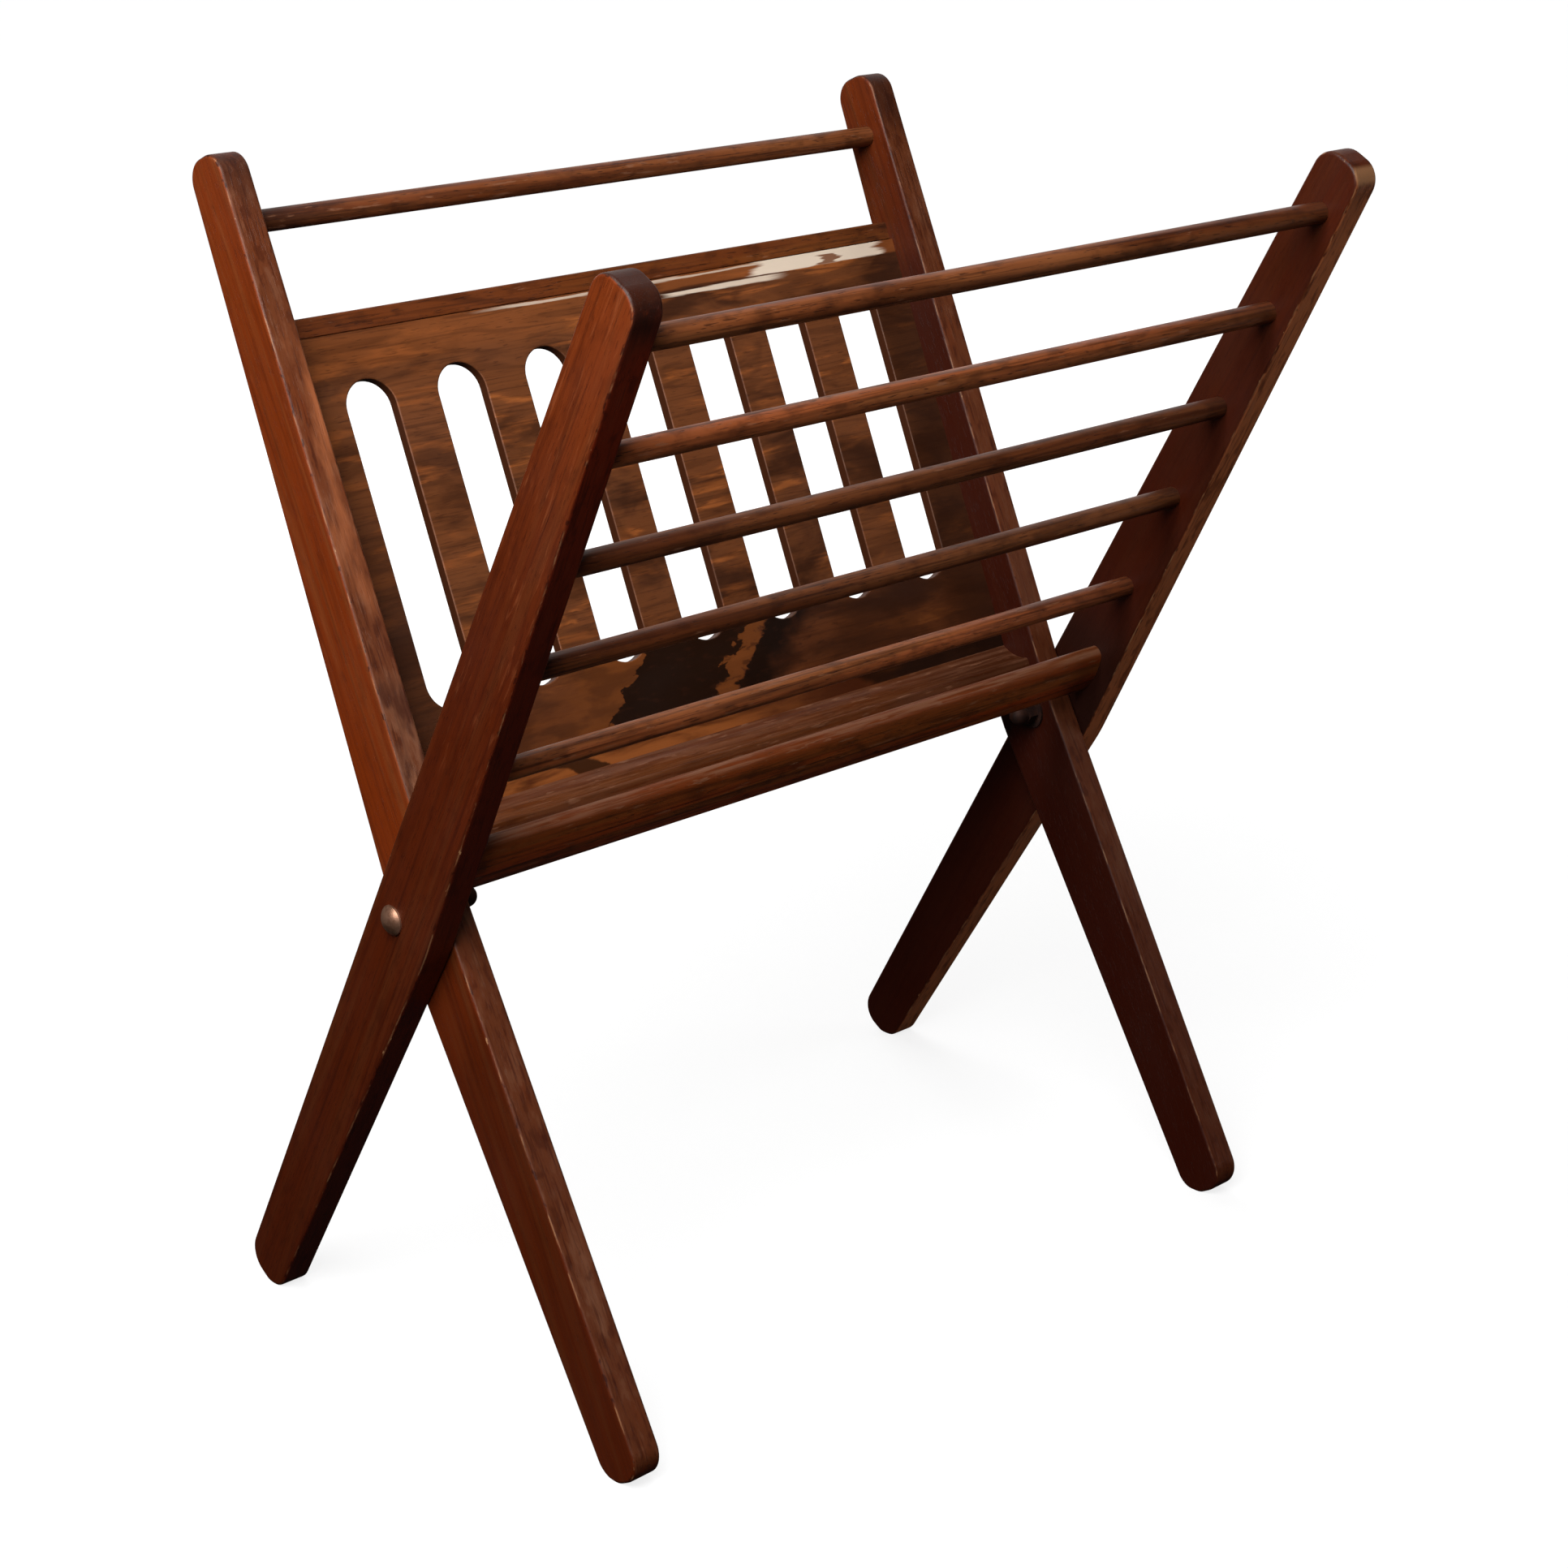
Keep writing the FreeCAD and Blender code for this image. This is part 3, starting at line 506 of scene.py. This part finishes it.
# How each stile has kept or lost its stain, and the shade, sheen and highlight painted on it. Its
# two ranges are where painted shade darkens the stile towards its foot and where its inner face is
# darker, along its length (from, to, depth), and front_tone is its front edge's colour. The rest
# say how strongly it shows each mark that stile_finish lays.
STILE_WEAR = {
    "front_stile_left": {
        "warm": 0.3, "figure": 0.42,
        "shade_to_foot": (0.44, 0.12, 0.66), "inner_dark": (0.5, 0.4, 0.85),
        "front_tone": "edge_dark", "front_rubbed": 0.0, "front_foot_shade": 1.0, "handled": 0.0,
        "corner_shade": 0.0, "smudged": 0.0, "scuffed": 0.2,
        "arris_wear_and_highlight": 0.35, "end_dark": 0.9, "end_worn": 0.0},
    "front_stile_right": {
        "warm": 0.2, "figure": 0.4,
        "shade_to_foot": (0.33, 0.02, 0.55), "inner_dark": (0.5, 0.4, 0.82),
        "front_tone": "edge_worn", "front_rubbed": 0.5, "front_foot_shade": 0.45, "handled": 0.0,
        "corner_shade": 0.8, "smudged": 0.0, "scuffed": 0.0,
        "arris_wear_and_highlight": 0.5, "end_dark": 0.6, "end_worn": 0.6},
    "rear_stile_left": {
        "warm": 0.1, "figure": 0.27,
        "shade_to_foot": (0.03, -0.09, 0.62), "inner_dark": (0.5, 0.4, 0.85),
        "front_tone": "edge_brown", "front_rubbed": 0.5, "front_foot_shade": 0.35, "handled": 0.6,
        "corner_shade": 0.0, "smudged": 1.0, "scuffed": 0.1,
        "arris_wear_and_highlight": 0.5, "end_dark": 0.7, "end_worn": 0.0},
    "rear_stile_right": {
        "warm": 0.2, "figure": 0.4,
        "shade_to_foot": (0.08, -0.15, 0.80), "inner_dark": (0.38, 0.20, 0.94),
        "front_tone": "edge_brown", "front_rubbed": 0.25, "front_foot_shade": 0.7, "handled": 0.0,
        "corner_shade": 0.0, "smudged": 0.3, "scuffed": 0.0,
        "arris_wear_and_highlight": 0.4, "end_dark": 0.7, "end_worn": 0.0},
}

# How each group of dowels and each rail has worn, and the shade and highlight painted on it: its
# colour, how deep the stain is, where it darkens across (from, to, depth), how dark its ends are,
# how rough it is, the level that scuffs show above, how fine its streaks are, and how much its nose
# is rubbed browner and given painted highlight lines.
DOWEL_WEAR = {
    "upper": {
        "tone": "dowel_mid", "depth": 0.0, "dark_beyond": (0.02, 0.15, 0.3), "ends": 0.3,
        "rough": 0.42, "scuffs": 0.66, "fineness": 0.5, "nose": 0.0},
    # Dowels 2 and 5 take a paler copy of the stain: painted light where the lamps leave them
    # darker.
    "handled": {
        "tone": "dowel_lit", "depth": 0.0, "dark_beyond": (0.06, 0.17, 0.4), "ends": 0.3,
        "rough": 0.40, "scuffs": 0.62, "fineness": 0.5, "nose": 0.0},
    "lower": {
        "tone": "dowel_mid", "depth": 0.3, "dark_beyond": (0.1, 0.2, 0.2), "ends": 0.3,
        "rough": 0.42, "scuffs": 0.66, "fineness": 0.5, "nose": 0.0},
    "rear": {
        "tone": "dowel_mid", "depth": 0.0, "dark_beyond": (-0.12, -0.165, 0.8), "ends": 0.3,
        "rough": 0.44, "scuffs": 0.60, "fineness": 0.5, "nose": 0.0},
}
DOWELS = {
    "upper": ("front_dowel_1",),
    "handled": ("front_dowel_2", "front_dowel_5"),
    "lower": (
        "front_dowel_3", "front_dowel_4", "front_rail_pins", "top_rail_pins", "bottom_rail_pins"),
    "rear": ("rear_top_dowel",),
}
RAIL_WEAR = {
    "front_bottom_rail": {
        "tone": "rail_red", "depth": 0.0, "dark_beyond": (0.1, 0.2, 0.0), "ends": 0.0,
        "rough": 0.4, "scuffs": 0.62, "fineness": 0.7, "nose": 0.75},
    "panel_top_rail": {
        "tone": "rail_mid", "depth": 0.0, "dark_beyond": (0.1, 0.2, 0.3), "ends": 0.3,
        "rough": 0.44, "scuffs": 0.68, "fineness": 1.0, "nose": 0.0},
    # The coved rail's far end is darkened as painted shade, and its top carries painted highlight
    # lines.
    "panel_bottom_rail": {
        "tone": "rail_mid", "depth": 0.38, "dark_beyond": (0.08, 0.15, 0.8), "ends": 0.3,
        "rough": 0.36, "scuffs": 0.60, "fineness": 0.7, "nose": 0.3},
}


class RACK_OT_stiles(bpy.types.Operator):
    """Finishes the four stiles"""

    bl_idname = "rack.stiles"
    bl_label = "Stiles"

    def execute(self, context):
        sizes = context.scene.rack_figure
        colours = context.scene.rack_colours
        for name, wear in STILE_WEAR.items():
            lean = FRONT_LEAN if name.startswith("front") else REAR_LEAN
            dress(stile_finish(f"planed_stained_beech_{name}", lean, sizes, colours, wear), name)
        return {"FINISHED"}


class RACK_OT_dowels(bpy.types.Operator):
    """Finishes the dowels and the hidden pins"""

    bl_idname = "rack.dowels"
    bl_label = "Dowels"

    def execute(self, context):
        sizes = context.scene.rack_figure
        colours = context.scene.rack_colours
        tones = (colours.dowel_warm, colours.dowel_dark)
        for place, wear in DOWEL_WEAR.items():
            name = f"turned_stained_beech_{place}_dowels"
            dress(cross_finish(name, sizes, colours, tones, wear), *DOWELS[place])
        return {"FINISHED"}


class RACK_OT_rails(bpy.types.Operator):
    """Finishes the three rails"""

    bl_idname = "rack.rails"
    bl_label = "Rails"

    def execute(self, context):
        sizes = context.scene.rack_figure
        colours = context.scene.rack_colours
        tones = (colours.rail_warm, colours.rail_dark)
        for name, wear in RAIL_WEAR.items():
            dress(cross_finish(f"moulded_stained_beech_{name}", sizes, colours, tones, wear), name)
        return {"FINISHED"}


class RACK_OT_panel(bpy.types.Operator):
    """Finishes the slotted plywood panel"""

    bl_idname = "rack.panel"
    bl_label = "Slotted panel"

    def execute(self, context):
        plywood = panel_finish(
            "stained_rotary_cut_plywood", context.scene.rack_figure, context.scene.rack_colours)
        dress(plywood, "slotted_panel")
        return {"FINISHED"}


class RACK_OT_fasteners(bpy.types.Operator):
    """Finishes the pivot bolts, washers and cap nuts"""

    bl_idname = "rack.fasteners"
    bl_label = "Fasteners"

    def execute(self, context):
        colours = context.scene.rack_colours
        # Most of the browned steel is dull oxide, so it shines less as metal than the bronze.
        bronze = metal_finish(
            "turned_aged_bronze", colours.bronze, colours.bronze_dark, rough=0.42, metallic=0.8)
        steel = metal_finish(
            "pressed_browned_steel", colours.steel, colours.steel_rust, rough=0.68, metallic=0.3)
        for side in ("left", "right"):
            dress(bronze, f"pivot_bolt_{side}")
            dress(steel, f"spacer_washer_{side}", f"nut_washer_{side}", f"cap_nut_{side}")
        return {"FINISHED"}


# The soft lights, in metres: where each hangs, its width, and whether it leaves highlights.
LIGHTS = {
    "key": ((-0.80, -0.40, 1.16), 1.0, True),
    "fill": ((1.1, -0.4, 0.12), 0.5, False),
    "back": ((1.0, 1.4, 1.3), 2.6, True),
    "rear": ((0.5, 1.5, 0.7), 1.0, False),
}
LIT_PLACE = Vector((0.0, 0.0, 0.26))
# The floor's sizes in metres, and how many sides make it round.
FLOOR_RADIUS = 10.0
FLOOR_RISE = 6.0
FLOOR_BEND = 2.0
FLOOR_SIDES = 72
# The sensor's width in millimetres, which the camera's lens is given for.
SENSOR_WIDTH = 36.0


def soft_light(name, place, width, power, glossy):
    """Hangs a square soft light that points at the rack, and leaves highlights if glossy."""
    lamp = bpy.data.lights.new(name, "AREA")
    lamp.shape = "SQUARE"
    lamp.size = width
    lamp.energy = power
    stand = bpy.data.objects.new(name, lamp)
    stand.location = place
    stand.visible_glossy = glossy
    stand.rotation_euler = (LIT_PLACE - Vector(place)).to_track_quat("-Z", "Y").to_euler()
    bpy.context.scene.collection.objects.link(stand)


def swept_floor():
    """Makes a round floor that sweeps up to a low wall, as a studio's paper does."""
    flat = FLOOR_RADIUS - FLOOR_BEND
    sweep = []
    for step in range(10):
        turn = math.radians(10 * step)
        sweep.append((flat + FLOOR_BEND * math.sin(turn), FLOOR_BEND - FLOOR_BEND * math.cos(turn)))
    profile = [(0.4 * FLOOR_RADIUS, 0.0), *sweep, (FLOOR_RADIUS, FLOOR_RISE)]
    points = [(0.0, 0.0, 0.0)]
    faces = []
    for ring, (reach, height) in enumerate(profile):
        for step in range(FLOOR_SIDES):
            bearing = 2 * math.pi * step / FLOOR_SIDES
            points.append((reach * math.cos(bearing), reach * math.sin(bearing), height))
            here = 1 + ring * FLOOR_SIDES + step
            after = 1 + ring * FLOOR_SIDES + (step + 1) % FLOOR_SIDES
            next_ring = (here - FLOOR_SIDES, here, after, after - FLOOR_SIDES)
            faces.append((0, here, after) if ring == 0 else next_ring)
    mesh = bpy.data.meshes.new("floor")
    mesh.from_pydata(points, [], faces)
    mesh.shade_smooth()
    return bpy.data.objects.new("floor", mesh)


class RACK_OT_stage(bpy.types.Operator):
    """Sets the floor, the soft light and the camera"""

    bl_idname = "rack.stage"
    bl_label = "Stage"

    def execute(self, context):
        scene = context.scene
        stage = scene.rack_stage
        floor = swept_floor()
        scene.collection.objects.link(floor)
        # The bright floor throws no light on the rack and isn't mirrored in its varnish.
        floor.visible_diffuse = False
        floor.visible_glossy = False
        paper = paper_finish("matt_white_paper", scene.rack_colours.floor, stage.floor_glow)
        floor.data.materials.append(paper)

        world = bpy.data.worlds.new("studio")
        world.use_nodes = True
        room = world.node_tree.nodes["Background"]
        room.inputs["Color"].default_value = WHITE
        room.inputs["Strength"].default_value = stage.sky_strength
        scene.world = world
        scene.view_settings.view_transform = "Standard"

        for name, (place, width, glossy) in LIGHTS.items():
            soft_light(name, place, width, getattr(stage, f"{name}_power"), glossy)

        # The camera looks against back, and its other two axes are turned by its roll.
        turn, tilt, roll = stage.camera_azimuth, stage.camera_elevation, stage.camera_roll
        level = math.cos(tilt)
        back = Vector((math.sin(turn) * level, -math.cos(turn) * level, math.sin(tilt)))
        right = Vector((math.cos(turn), math.sin(turn), 0.0))
        up = back.cross(right)
        across = math.cos(roll) * right + math.sin(roll) * up
        rise = math.cos(roll) * up - math.sin(roll) * right
        lens = bpy.data.cameras.new("camera")
        lens.lens = stage.camera_lens
        lens.sensor_width = SENSOR_WIDTH
        camera = bpy.data.objects.new("camera", lens)
        axes = Matrix((across, rise, back)).transposed()
        camera.matrix_world = Matrix.Translation(stage.camera_place) @ axes.to_4x4()
        scene.collection.objects.link(camera)
        scene.camera = camera
        return {"FINISHED"}


MAKERS = (
    RACK_OT_stiles, RACK_OT_dowels, RACK_OT_rails, RACK_OT_panel, RACK_OT_fasteners, RACK_OT_stage)


class RACK_PT_sidebar(bpy.types.Panel):
    """Lists the makers and what they use"""

    bl_idname = "RACK_PT_sidebar"
    bl_label = "Folding Magazine Rack"
    bl_space_type = "VIEW_3D"
    bl_region_type = "UI"
    bl_category = "Rack"

    def draw(self, context):
        for maker in MAKERS:
            self.layout.operator(maker.bl_idname)
        scene = context.scene
        for group in (scene.rack_figure, scene.rack_colours, scene.rack_stage):
            box = self.layout.box()
            for key in group.__annotations__:
                box.prop(group, key)


GROUPS = (RackFigure, RackColours, RackStage)


def register():
    """Registers the groups, the makers and the panel."""
    for each in (*GROUPS, *MAKERS, RACK_PT_sidebar):
        bpy.utils.register_class(each)
    bpy.types.Scene.rack_figure = PointerProperty(type=RackFigure)
    bpy.types.Scene.rack_colours = PointerProperty(type=RackColours)
    bpy.types.Scene.rack_stage = PointerProperty(type=RackStage)


def unregister():
    """Takes them away again."""
    del bpy.types.Scene.rack_stage
    del bpy.types.Scene.rack_colours
    del bpy.types.Scene.rack_figure
    for each in reversed((*GROUPS, *MAKERS, RACK_PT_sidebar)):
        bpy.utils.unregister_class(each)


def main():
    """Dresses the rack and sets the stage."""
    register()
    bpy.ops.rack.stiles()
    bpy.ops.rack.dowels()
    bpy.ops.rack.rails()
    bpy.ops.rack.panel()
    bpy.ops.rack.fasteners()
    bpy.ops.rack.stage()


if __name__ == "__main__":
    main()
